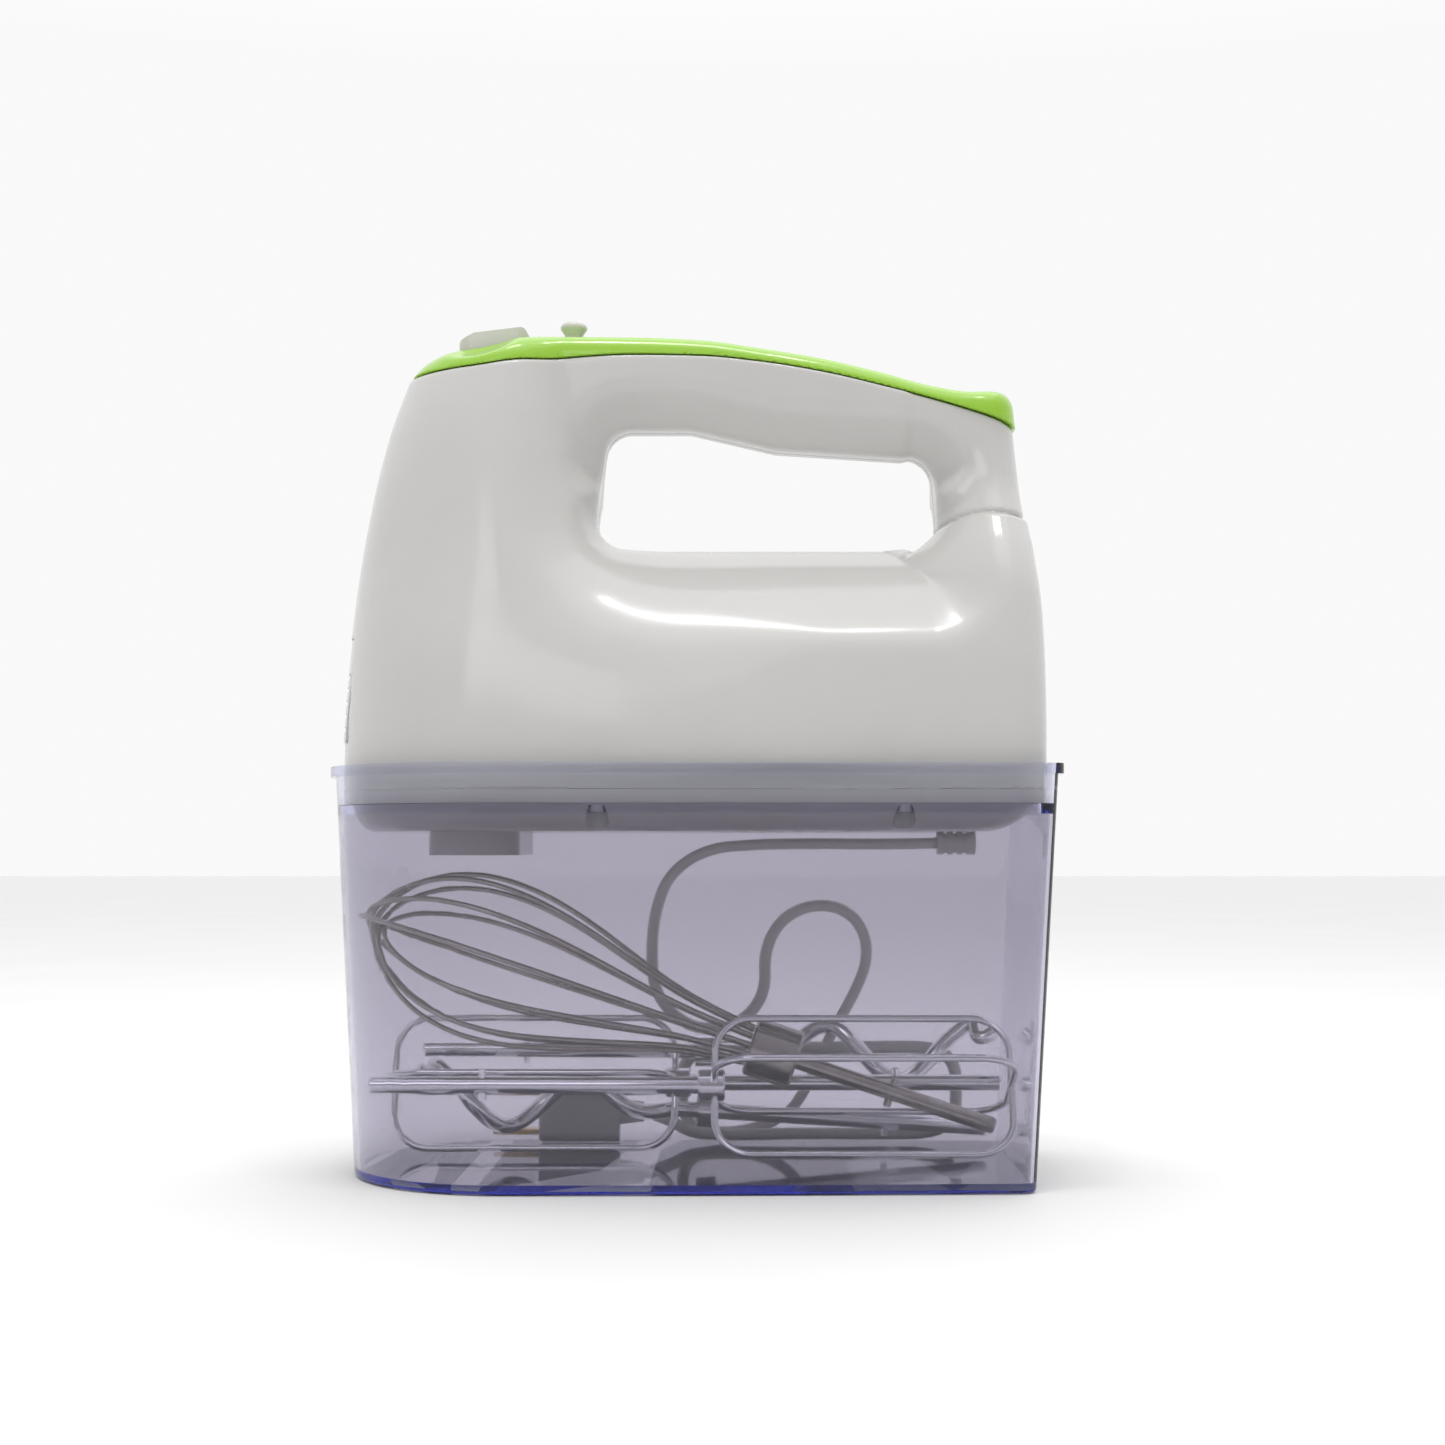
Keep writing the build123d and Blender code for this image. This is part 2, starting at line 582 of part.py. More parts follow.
def make_spindle_bushes():
    """Bronze bushes for the spindles in the lower plate."""
    top = GEARBOX_BASE_Z + GEARBOX_BASE_THICK
    return Part() + [tube(GEARBOX_BASE_Z, top, SPINDLE_BUSH_RADIUS, SOCKET_WALL_RADIUS + RUNNING_GAP,
                          SPINDLE_X, y) for y in (-SPINDLE_Y, SPINDLE_Y)]


def make_spindle(y):
    """Hollow spindle: the socket below and the push-pin bore above."""
    spindle = post(SPINDLE_BOTTOM_Z, SOCKET_TOP_Z + 1.5, SOCKET_WALL_RADIUS, SPINDLE_X, y)
    spindle += post(SOCKET_TOP_Z + 1.5, SPINDLE_TOP_Z, SPINDLE_RADIUS, SPINDLE_X, y)
    spindle -= post(SPINDLE_BOTTOM_Z - 1, SOCKET_TOP_Z, SOCKET_RADIUS, SPINDLE_X, y)
    spindle -= post(SOCKET_TOP_Z - 1, SPINDLE_TOP_Z + 1, PUSH_BORE_RADIUS, SPINDLE_X, y)
    slot = block((SPINDLE_X - 7, y - 0.9, SPINDLE_BOTTOM_Z - 1), (SPINDLE_X + 7, y + 0.9, 106))
    return spindle - slot


def make_worm_wheel(y):
    """Toothed wheel fixed on a spindle."""
    root = WHEEL_RADIUS - TOOTH_HEIGHT
    tooth = make_face(Polyline((root - 0.5, -1.0), (WHEEL_RADIUS, -0.5), (WHEEL_RADIUS, 0.5),
                               (root - 0.5, 1.0), close=True))
    teeth = Sketch() + [Rot(0, 0, i * 360 / WHEEL_TEETH) * tooth for i in range(WHEEL_TEETH)]
    outline = Circle(root) + teeth - Circle(SPINDLE_RADIUS)
    return Pos(SPINDLE_X, y, SHAFT_Z - WHEEL_WIDTH / 2) * extrude(outline, amount=WHEEL_WIDTH)


# ---------------------------------------------------------------- accessories
BEATER_1 = Pos(-92.5, -21.8, 28.8) * Rot(0, 0, -0.6)
BEATER_2 = Pos(98.8, 11.6, 25.7) * Rot(0, 0, 180)
BEATERS = ((1, BEATER_1, 21.5, -28.0), (2, BEATER_2, 20.5, 105.0))     # number, place, half width, turn
HOOK_1 = Pos(96.0, 27.0, 9.5) * Rot(0, 0, 185.7) * Rot(0, -4.2, 0)
HOOK_2 = Pos(-84.0, 25.0, 35.0) * Rot(0, 0.4, 0)
HOOKS = ((1, HOOK_1, 7.0, 8.5), (2, HOOK_2, 5.0, 9.0))               # number, place, swell in Y and in Z
WHISK = Pos(94.2, -9.4, 14.8) * Rot(0, 0, 177.4) * Rot(0, -18.1, 0)


def shaft_bar(length, radius=ROD_RADIUS):
    """Round shaft along +X from its rounded tip."""
    bar = Pos(length / 2, 0, 0) * Rot(0, 90, 0) * Cylinder(radius, length)
    return chamfer(bar.edges().group_by(Axis.X)[0], 0.7)


def drive_pin(at):
    """Cross pin that the spindle drives."""
    return Pos(at, 0, 0) * Cylinder(1.2, 9.0)


def loop_wire(start, end, half_width, corner, turn):
    """Closed rounded loop of wire round the axis, turned about it."""
    points = ((start, -half_width), (end, -half_width), (end, half_width), (start, half_width))
    path = FilletPolyline(*points, radius=corner, close=True)
    face = Plane(origin=path @ 0, z_dir=path % 0) * Circle(BEATER_WIRE)
    return Rot(turn, 0, 0) * sweep(face, path=path)


def make_beater(place, half_width, turn):
    """Shaft with drive pin, collar, and two crossed wire loops."""
    loops = (loop_wire(BEATER_SHAFT + 1, BEATER_LENGTH - 1.2, half_width, LOOP_CORNER, turn)
             + loop_wire(BEATER_SHAFT + 1, BEATER_LENGTH - 1.2, half_width, LOOP_CORNER, turn + 90))
    shaft = shaft_bar(BEATER_SHAFT - 0.3) + drive_pin(DRIVE_PIN_AT)
    collar = Pos(BEATER_SHAFT, 0, 0) * Rot(0, 90, 0) * Cylinder(4.6, 8.0)
    collar = chamfer(collar.edges(), 0.5) - loops
    collar -= Pos(BEATER_SHAFT / 2 - 0.15, 0, 0) * Rot(0, 90, 0) * Cylinder(ROD_RADIUS, BEATER_SHAFT - 0.3)
    return place * shaft, place * loops, place * collar


def hook_path(swell_y, swell_z, turns):
    """Centre line of the hook's spiral, from the collar to its free end."""
    steps = 14
    start = 97.0
    points = [(start, 0, 0)]
    for i in range(1, steps + 1):
        share = i / steps
        swell = min(1.0, share * 3.0)
        angle = 2 * pi * turns * share
        points.append((start + 6 + (HOOK_LENGTH - start - 6) * share, swell_y * swell * sin(angle),
                       -swell_z * swell * cos(angle)))
    return Spline(*points, tangents=[(1, 0, 0), (0.8, 0.2, 0.6)])


def make_hook(place, swell_y, swell_z, turns):
    """Dough hook: straight shaft with drive pin, running into a spiral of the same rod."""
    spiral = wire(ROD_RADIUS, hook_path(swell_y, swell_z, turns))
    hook = shaft_bar(97.0) + spiral + drive_pin(DRIVE_PIN_AT)
    collar = Pos(90, 0, 0) * Rot(0, 90, 0) * (Cylinder(5.2, 6.0) - Cylinder(ROD_RADIUS, 8.0))
    return place * hook, place * collar


def whisk_loop(index):
    """One balloon loop, its tip set back a wire's width from the one before."""
    neck = WHISK_SHAFT + FERRULE_LENGTH + 0.2
    tip = WHISK_LENGTH - index * 2.1 * WHISK_WIRE
    points = ((neck, 5.6), (neck + 24, 9.4), (neck + 54, 19.0), (neck + 86, 24.6),
              (neck + 110 - index, 18.8), (tip, 0))
    mirrored = tuple((x, -y) for x, y in reversed(points[:-1]))
    path = Spline(*points, *mirrored, tangents=[(1, 0.12), (-1, 0.12)])
    face = Plane(origin=path @ 0, z_dir=path % 0) * Circle(WHISK_WIRE)
    return Rot(index * 180 / WHISK_LOOPS + 8, 0, 0) * sweep(face, path=path)


def make_whisk():
    """Balloon whisk: shaft with drive pin, ferrule and nested wire loops."""
    shaft = shaft_bar(WHISK_SHAFT + 2) + drive_pin(DRIVE_PIN_AT)
    middle = WHISK_SHAFT + FERRULE_LENGTH / 2
    ferrule = Pos(middle, 0, 0) * Rot(0, 90, 0) * Cylinder(FERRULE_RADIUS, FERRULE_LENGTH)
    ferrule = chamfer(ferrule.edges(), 0.8) - shaft
    wires = Part() + [whisk_loop(i) for i in range(WHISK_LOOPS)]
    return WHISK * shaft, WHISK * ferrule, WHISK * wires


# ---------------------------------------------------------------- cord
def corner_radii(points):
    """Arc radius at each corner: as large as the shorter run beside it allows."""
    radii = []
    for before, here, after in zip(points, points[1:], points[2:]):
        into = Vector(*here) - Vector(*before)
        out = Vector(*after) - Vector(*here)
        half_turn = radians(into.get_angle(out)) / 2
        radii.append(0.45 * min(into.length, out.length) / tan(half_turn))
    return radii


def make_cord_tube(points):
    """Plain round tube along straight runs joined by tangent arcs."""
    radii = corner_radii(points)
    print("cord radii", [round(r, 1) for r in radii])
    path = FilletPolyline(*points, radius=radii)
    cord = wire(CORD_DIAMETER / 2, path)
    print("cord length", round(path.length, 1), "volume share",
          round(cord.volume / (path.length * pi * CORD_DIAMETER ** 2 / 4), 3))
    return cord


def make_cord_hank():
    """Outer shape of the folded length: an upright racetrack, two turns thick."""
    length = HANK_X[1] - HANK_X[0]
    height = HANK_Z[1] - HANK_Z[0]
    face = RectangleRounded(length, height, HANK_ROUND)
    hank = extrude(Plane.XZ * face, amount=(HANK_Y[1] - HANK_Y[0]) / 2, both=True)
    return Pos((HANK_X[0] + HANK_X[1]) / 2, (HANK_Y[0] + HANK_Y[1]) / 2, (HANK_Z[0] + HANK_Z[1]) / 2) * hank


def make_plug():
    """Two-blade plug standing on edge between the beaters and the case's far wall."""
    body = Pos(-PLUG_TAIL - PLUG_LENGTH / 2, 0, 0) * Box(PLUG_LENGTH, PLUG_THICK, PLUG_WIDTH)
    body = fillet(body.edges().filter_by(Axis.X), 3.5)
    body = chamfer(body.faces().group_by(Axis.X)[0].edges(), 0.8)
    blade = Pos(-PLUG_TAIL - PLUG_LENGTH - BLADE_LENGTH / 2, 0, 0) * Box(BLADE_LENGTH, BLADE_WIDTH, BLADE_THICK)
    blades = Part() + [Pos(0, 0, side * BLADE_SPACING / 2) * blade for side in (-1, 1)]
    tail = Pos(-PLUG_TAIL / 2, 0, 0) * Rot(0, -90, 0) * Cone(3.2, 4.2, PLUG_TAIL)
    return Pos(*PLUG_AT) * (body + blades + tail)


def make_strain_relief():
    """Ribbed grommet through the cover, pointing forward along its underside."""
    low_x = CORD_ROUTE[0][0]
    relief = x_cylinder(low_x, 92, RELIEF_RADIUS, RELIEF_Y, RELIEF_Z)
    for x in (low_x + 2.0, low_x + 5.0, low_x + 8.0):
        ring = (x_cylinder(x, x + 1.2, RELIEF_RADIUS + 0.1, RELIEF_Y, RELIEF_Z)
                - x_cylinder(x - 1, x + 2, RELIEF_RADIUS - 0.5, RELIEF_Y, RELIEF_Z))
        relief -= ring
    return relief


# ---------------------------------------------------------------- assembly
def build_all():
    """Every node by name."""
    nodes = {"storage_case": make_case()}
    nodes["left_shell"], nodes["right_shell"] = make_shells()
    nodes["nose_vent"] = make_nose_vent()
    nodes["top_trim"] = make_top_trim()
    nodes["bottom_cover"] = make_bottom_cover()
    nodes["cover_screws"] = make_cover_screws()
    nodes["eject_button"] = make_eject_button()
    nodes["ejector_yoke"] = make_ejector_yoke()
    nodes["eject_spring"] = make_coil_spring(SPINDLE_X, 0, GEARBOX_TOP_Z + GEARBOX_TOP_THICK,
                                             YOKE_Z, 4.0, 0.5, 5)
    nodes["speed_knob"] = make_speed_knob()
    nodes["switch_carriage"] = make_switch_carriage()
    nodes["switch_block"] = make_switch_block()
    nodes["turbo_button"] = make_turbo_button()
    nodes["turbo_switch"] = make_turbo_switch()
    nodes["stator"] = make_stator()
    nodes["field_coils"] = make_field_coils()
    nodes["armature"] = make_armature()
    nodes["armature_winding"] = make_armature_winding()
    nodes["motor_shaft"] = make_motor_shaft()
    nodes["worm"] = make_worm()
    nodes["commutator"] = make_commutator()
    nodes["cooling_fan"] = make_fan()
    nodes["brush_holders"] = make_brush_holders()
    nodes["brushes"] = make_brushes()
    nodes["rear_bracket"] = make_rear_bracket()
    nodes["motor_bushes"] = make_motor_bushes()
    nodes["motor_cradle"] = make_motor_cradle()
    nodes["gearbox_base"] = make_gearbox_base()
    nodes["gearbox_top"] = make_gearbox_top()
    nodes["spindle_bushes"] = make_spindle_bushes()
    for number, y in ((1, -SPINDLE_Y), (2, SPINDLE_Y)):
        nodes[f"spindle_{number}"] = make_spindle(y)
        nodes[f"worm_wheel_{number}"] = make_worm_wheel(y)
    for number, place, half_width, turn in BEATERS:
        shaft, loops, collar = make_beater(place, half_width, turn)
        nodes[f"beater_{number}_shaft"] = shaft
        nodes[f"beater_{number}_loops"] = loops
        nodes[f"beater_{number}_collar"] = collar
    for number, place, swell_y, swell_z in HOOKS:
        hook, collar = make_hook(place, swell_y, swell_z, 1.6)
        nodes[f"hook_{number}_rod"] = hook
        nodes[f"hook_{number}_collar"] = collar
    nodes["whisk_shaft"], nodes["whisk_ferrule"], nodes["whisk_wires"] = make_whisk()
    nodes["strain_relief"] = make_strain_relief()
    nodes["cord"] = make_cord_tube(CORD_ROUTE)
    nodes["cord_hank"] = make_cord_hank()
    nodes["cord_tail"] = make_cord_tube(TAIL_ROUTE)
    nodes["plug"] = make_plug()
    return nodes


def main():
    os.makedirs("parts", exist_ok=True)
    for name, shape in build_all().items():
        export_step(shape, f"parts/{name}.step")


if __name__ == "__main__":
    main()
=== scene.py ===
import json
import math
import bpy
import numpy as np
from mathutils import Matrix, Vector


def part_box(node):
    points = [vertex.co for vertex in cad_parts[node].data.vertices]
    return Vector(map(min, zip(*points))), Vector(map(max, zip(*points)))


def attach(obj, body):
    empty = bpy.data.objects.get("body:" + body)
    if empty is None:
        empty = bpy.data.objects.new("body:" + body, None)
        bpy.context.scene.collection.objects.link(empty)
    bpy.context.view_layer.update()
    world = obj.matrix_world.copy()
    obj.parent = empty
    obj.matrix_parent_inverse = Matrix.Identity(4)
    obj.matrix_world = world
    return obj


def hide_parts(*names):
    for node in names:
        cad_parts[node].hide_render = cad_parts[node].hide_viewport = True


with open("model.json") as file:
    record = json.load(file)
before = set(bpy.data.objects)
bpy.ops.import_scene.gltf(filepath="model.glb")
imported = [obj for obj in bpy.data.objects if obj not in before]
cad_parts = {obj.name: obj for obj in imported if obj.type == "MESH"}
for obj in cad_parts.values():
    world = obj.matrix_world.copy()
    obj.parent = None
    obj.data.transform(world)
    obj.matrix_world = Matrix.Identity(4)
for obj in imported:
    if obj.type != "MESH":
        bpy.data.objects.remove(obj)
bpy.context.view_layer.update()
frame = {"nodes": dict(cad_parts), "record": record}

import openvdb
from mathutils import Vector

MM = 0.001

# ------------------------------------------------------------------ camera
CAMERA_PLACE = (0.014, -0.640, 0.100)
SENSOR_WIDTH = 36.0
LENS = 51.82
SHIFT_X = -0.00519                 # the view axis lies right of the frame's centre and below it
SHIFT_Y = 0.084775

camera_data = bpy.data.cameras.new("camera")
camera_data.sensor_width = SENSOR_WIDTH
camera_data.lens = LENS
camera_data.shift_x = SHIFT_X
camera_data.shift_y = SHIFT_Y
camera_data.clip_start = 0.01
camera = bpy.data.objects.new("camera", camera_data)
camera.location = CAMERA_PLACE
camera.rotation_euler = (math.pi / 2, 0, 0)
bpy.context.collection.objects.link(camera)
bpy.context.scene.camera = camera


# ------------------------------------------------------------------ materials
def new_material(name):
    """A node material and its Principled shader."""
    material = bpy.data.materials.new(name)
    material.use_nodes = True
    return material, material.node_tree.nodes["Principled BSDF"]


def add_node(owner, kind, values=None):
    """A new node in a material or world, with constants set on its named inputs."""
    node = owner.node_tree.nodes.new(kind)
    for socket, value in (values or {}).items():
        node.inputs[socket].default_value = value
    return node


def join(owner, source, target):
    owner.node_tree.links.new(source, target)


def object_place(material, stretch=(1, 1, 1)):
    """Object coordinates, stretched along each axis."""
    place = add_node(material, "ShaderNodeTexCoord")
    mapping = add_node(material, "ShaderNodeMapping", {"Scale": stretch})
    join(material, place.outputs["Object"], mapping.inputs["Vector"])
    return mapping.outputs["Vector"]


def noise(material, place, scale, detail, rough):
    values = {"Scale": scale, "Detail": detail, "Roughness": rough}
    node = add_node(material, "ShaderNodeTexNoise", values)
    join(material, place, node.inputs["Vector"])
    return node.outputs["Fac"]


def ramp(material, factor, low, high):
    """A colour ramp between two (position, colour) stops."""
    node = add_node(material, "ShaderNodeValToRGB")
    for element, (at, color) in zip(node.color_ramp.elements, (low, high)):
        element.position = at
        element.color = (*color, 1)
    join(material, factor, node.inputs["Fac"])
    return node.outputs["Color"]


def spread(owner, value, low, high, start=0.0, end=1.0):
    """A value's range start..end mapped to low..high."""
    values = {"From Min": start, "From Max": end, "To Min": low, "To Max": high}
    node = add_node(owner, "ShaderNodeMapRange", values)
    join(owner, value, node.inputs["Value"])
    return node.outputs["Result"]


def bump(material, shader, height, strength, distance):
    node = add_node(material, "ShaderNodeBump", {"Strength": strength, "Distance": distance})
    join(material, height, node.inputs["Height"])
    join(material, node.outputs["Normal"], shader.inputs["Normal"])


FLOW_SCALE = 22.0
WEAR_SCALE = 140.0
PEEL_SCALE = 900.0


def moulded_plastic(name, color, darker, roughness, coat=0.0, grain=0.000006):
    """Glossy moulded plastic: faint flow marks, fine orange peel and a few handling marks."""
    material, shader = new_material(name)
    place = object_place(material)
    flow = noise(material, place, FLOW_SCALE, 4.0, 0.6)
    join(material, ramp(material, flow, (0.3, darker), (0.7, color)), shader.inputs["Base Color"])
    wear = noise(material, place, WEAR_SCALE, 5.0, 0.7)
    wear_roughness = spread(material, wear, roughness * 0.8, roughness * 1.35)
    join(material, wear_roughness, shader.inputs["Roughness"])
    bump(material, shader, noise(material, place, PEEL_SCALE, 2.0, 0.5), 0.25, grain)
    shader.inputs["IOR"].default_value = 1.49
    shader.inputs["Coat Weight"].default_value = coat
    shader.inputs["Coat Roughness"].default_value = 0.06
    return material


def metal(name, color, darker, roughness, streak=(1, 1, 1), grain=0.000004, scale=300.0):
    """Metal with drawing or turning streaks."""
    material, shader = new_material(name)
    place = object_place(material, streak)
    lines = noise(material, place, scale, 4.0, 0.6)
    join(material, ramp(material, lines, (0.25, darker), (0.75, color)), shader.inputs["Base Color"])
    line_roughness = spread(material, lines, roughness * 0.7, roughness * 1.5)
    join(material, line_roughness, shader.inputs["Roughness"])
    bump(material, shader, lines, 0.3, grain)
    shader.inputs["Metallic"].default_value = 1.0
    return material


# Case colour below the rim: partly its own violet tint, partly painted shade for the dim inside under the
# mixer; the rim keeps the paler colour.
CASE_TINT_WITH_PAINTED_SHADE = (0.68, 0.655, 0.70)
CASE_RIM_TINT = (0.93, 0.93, 0.95)
CASE_RIM_Z = (0.108, 0.115)
CASE_DEPTH_TINT = (0.22, 0.28, 0.84, 1)
CASE_DENSITY = 42.0


def clear_case_material():
    """Clear blue-violet moulding, darker where it is seen edge on; below its rim the colour is darker,
    partly the case's own violet tint and partly painted shade for the dim inside of the case under the
    mixer.
    """
    material, shader = new_material("clear_case")
    place = object_place(material)
    cloud = noise(material, place, 30.0, 4.0, 0.6)
    join(material, spread(material, cloud, 0.02, 0.07), shader.inputs["Roughness"])
    bump(material, shader, noise(material, place, 60.0, 2.0, 0.5), 0.12, 0.0002)
    height = add_node(material, "ShaderNodeSeparateXYZ")
    join(material, place, height.inputs["Vector"])
    # Painted shade: the colour is darker below CASE_RIM_Z and paler at the rim.
    rim = spread(material, height.outputs["Z"], 0.0, 1.0, *CASE_RIM_Z)
    join(material, ramp(material, rim, (0.0, CASE_TINT_WITH_PAINTED_SHADE), (1.0, CASE_RIM_TINT)), shader.inputs["Base Color"])
    shader.inputs["Transmission Weight"].default_value = 1.0
    shader.inputs["IOR"].default_value = 1.46
    depth = {"Color": CASE_DEPTH_TINT, "Density": CASE_DENSITY}
    absorb = add_node(material, "ShaderNodeVolumeAbsorption", depth)
    join(material, absorb.outputs["Volume"], material.node_tree.nodes["Material Output"].inputs["Volume"])
    return material


PLASTICS = {
    "white_gloss": dict(color=(0.60, 0.59, 0.575), darker=(0.575, 0.565, 0.55), roughness=0.17, coat=0.15),
    "lime_gloss": dict(color=(0.32, 0.60, 0.05), darker=(0.30, 0.57, 0.04), roughness=0.2, coat=0.3),
    "button_white": dict(color=(0.68, 0.66, 0.63), darker=(0.64, 0.62, 0.59), roughness=0.24, coat=0.1),
    "cord_white": dict(color=(0.80, 0.79, 0.76), darker=(0.75, 0.74, 0.71), roughness=0.38, grain=0.00002),
    "dark_plastic": dict(color=(0.035, 0.035, 0.038), darker=(0.025, 0.025, 0.028), roughness=0.5,
                         grain=0.00003),
    "gear_plastic": dict(color=(0.75, 0.72, 0.62), darker=(0.69, 0.66, 0.56), roughness=0.4),
    "carbon": dict(color=(0.02, 0.02, 0.02), darker=(0.012, 0.012, 0.012), roughness=0.7, grain=0.00004),
}
METALS = {
    "chrome": dict(color=(0.95, 0.95, 0.95), darker=(0.86, 0.87, 0.88), roughness=0.06, scale=120.0,
                   grain=0.000002),
    "whisk_steel": dict(color=(0.55, 0.52, 0.48), darker=(0.40, 0.375, 0.34), roughness=0.22,
                        streak=(0.3, 1, 1)),
    "steel": dict(color=(0.60, 0.60, 0.61), darker=(0.48, 0.48, 0.50), roughness=0.28, streak=(0.2, 1, 1)),
    "brass": dict(color=(0.80, 0.62, 0.30), darker=(0.68, 0.50, 0.22), roughness=0.25, streak=(0.2, 1, 1)),
    "copper": dict(color=(0.74, 0.36, 0.18), darker=(0.55, 0.24, 0.11), roughness=0.35, streak=(1, 0.1, 1),
                   grain=0.00005),
}
MATERIALS = {"clear_blue": clear_case_material()}
MATERIALS.update({name: moulded_plastic(name, **look) for name, look in PLASTICS.items()})
MATERIALS.update({name: metal(name, **look) for name, look in METALS.items()})

for part in frame["record"]["subparts"]:
    obj = frame["nodes"][part["node"]]
    if not obj.material_slots:
        obj.data.materials.append(None)
    for holder in obj.material_slots:
        holder.material = MATERIALS[part["material_slot"]]


# ------------------------------------------------------------------ mesh helpers
def mesh_object(name, vertices, faces, slot, body):
    """A smooth mesh piece in metres with its material, riding on a body."""
    mesh = bpy.data.meshes.new(name)
    mesh.from_pydata([tuple(v) for v in vertices], [], [tuple(f) for f in faces])
    mesh.validate()
    mesh.update()
    mesh.polygons.foreach_set("use_smooth", [True] * len(mesh.polygons))
    obj = bpy.data.objects.new(name, mesh)
    bpy.context.collection.objects.link(obj)
    mesh.materials.append(MATERIALS[slot])
    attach(obj, body)
    return obj


def swept_tube(points, profile, side):
    """Rings of a profile carried along points; side is the profile's first direction at the start."""
    count = len(points)
    tangents = [(points[min(i + 1, count - 1)] - points[max(i - 1, 0)]).normalized() for i in range(count)]
    side = (Vector(side) - tangents[0] * Vector(side).dot(tangents[0])).normalized()
    vertices, faces = [], []
    for i, (point, tangent) in enumerate(zip(points, tangents)):
        if i:
            side = tangents[i - 1].rotation_difference(tangent) @ side
            side = (side - tangent * side.dot(tangent)).normalized()
        up = tangent.cross(side)
        vertices += [point + side * a + up * b for a, b in profile]
    ring = len(profile)
    for i in range(count - 1):
        for j in range(ring):
            k = (j + 1) % ring
            faces.append((i * ring + j, i * ring + k, (i + 1) * ring + k, (i + 1) * ring + j))
    faces.append(tuple(reversed(range(ring))))
    faces.append(tuple((count - 1) * ring + j for j in range(ring)))
    return vertices, faces


def spline_points(route, resolution=14):
    """Points along a NURBS spline that has the route as its control points."""
    data = bpy.data.curves.new("route", "CURVE")
    data.dimensions = "3D"
    data.resolution_u = resolution
    spline = data.splines.new("NURBS")
    spline.points.add(len(route) - 1)
    for point, place in zip(spline.points, route):
        point.co = (*place, 1.0)
    spline.order_u = 3
    spline.use_endpoint_u = True
    holder = bpy.data.objects.new("route", data)
    mesh = bpy.data.meshes.new_from_object(holder)
    points = [v.co.copy() for v in mesh.vertices]
    bpy.data.meshes.remove(mesh)
    bpy.data.objects.remove(holder)
    bpy.data.curves.remove(data)
    return points


# ------------------------------------------------------------------ cord, in millimetres
CORD_WIDTH = 5.0
CORD_THICK = 3.8
VALLEY_DEPTH = 0.16
VALLEY_WIDTH = 0.25
CORD_EXIT = (80.0, 24.0, 100.6)
CORD_ROUTE = (CORD_EXIT, (62.0, 24.6, 100.2), (42.0, 27.0, 100.5), (22.0, 30.5, 100.2),
              (6.0, 33.0, 98.8), (-6.0, 34.6, 90.5), (-10.6, 35.6, 77.5), (-11.6, 36.2, 64.0),
              (-10.2, 36.6, 50.8), (0.4, 37.0, 40.4), (15.2, 37.4, 40.2), (25.8, 37.8, 50.8),
              (25.0, 38.4, 66.5), (32.5, 38.9, 78.0), (46.0, 39.4, 81.3), (56.5, 39.9, 75.5),
              (59.5, 40.3, 63.5), (54.5, 40.8, 51.0), (46.5, 41.2, 37.5))
HANK_ROUTE = ((41.0, 41.6, 24.0), (33.0, 41.7, 11.0), (18.0, 41.8, 6.0), (5.0, 41.8, 6.2),
              (-1.3, 41.2, 11.0), (-1.6, 39.6, 20.0), (-1.3, 38.0, 29.0), (5.0, 37.0, 34.2),
              (20.0, 36.8, 34.4), (42.0, 36.7, 34.0), (66.0, 36.8, 34.4), (81.0, 36.9, 34.2),
              (87.3, 37.0, 29.0), (87.6, 37.1, 19.0), (87.2, 37.1, 11.0), (80.0, 37.0, 6.2),
              (62.0, 36.8, 6.1), (38.0, 36.8, 6.3), (22.0, 36.7, 6.0))
TAIL_ROUTE = ((10.0, 36.8, 5.9), (1.0, 37.1, 6.5), (-6.5, 38.6, 11.0), (-14.0, 39.9, 13.0))


def twin_profile(width, thick, count=20):
    """Section of a flat twin-core cord: two round cores with a shallow valley between them."""
    points = []
    for i in range(count):
        angle = 2 * math.pi * i / count
        across = math.cos(angle)
        valley = 1 - VALLEY_DEPTH * math.exp(-(across / VALLEY_WIDTH) ** 2)
        points.append((across * width / 2 * MM, math.sin(angle) * thick / 2 * valley * MM))
    return points


def in_metres(place):
    return tuple(value * MM for value in place)


cord_line = spline_points([in_metres(place) for place in CORD_ROUTE + HANK_ROUTE + TAIL_ROUTE])
cord_tube = swept_tube(cord_line, twin_profile(CORD_WIDTH, CORD_THICK), (0, 1, 0))
cord_cover = mesh_object("flat_cord", *cord_tube, "cord_white", "mixer")
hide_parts("cord", "cord_hank", "cord_tail")

PLUG_BODY_END_X = -0.0481
plug = frame["nodes"]["plug"]
plug.data.materials.append(MATERIALS["brass"])
for face in plug.data.polygons:
    if face.center.x < PLUG_BODY_END_X:
        face.material_index = len(plug.data.materials) - 1


# ------------------------------------------------------------------ fields, in millimetres
def smooth_step(low, high, x):
    t = np.clip((x - low) / (high - low), 0, 1)
    return t * t * (3 - 2 * t)


def blend(start, end, span, x):
    """A value that goes smoothly from start to end while x crosses the span."""
    return start + (end - start) * smooth_step(*span, x)


def smooth_max(a, b, k):
    """The larger of two fields, rounded over a reach of k where they meet."""
    reach = np.maximum(k - np.abs(a - b), 0)
    return np.maximum(a, b) + reach * reach / (4 * k)


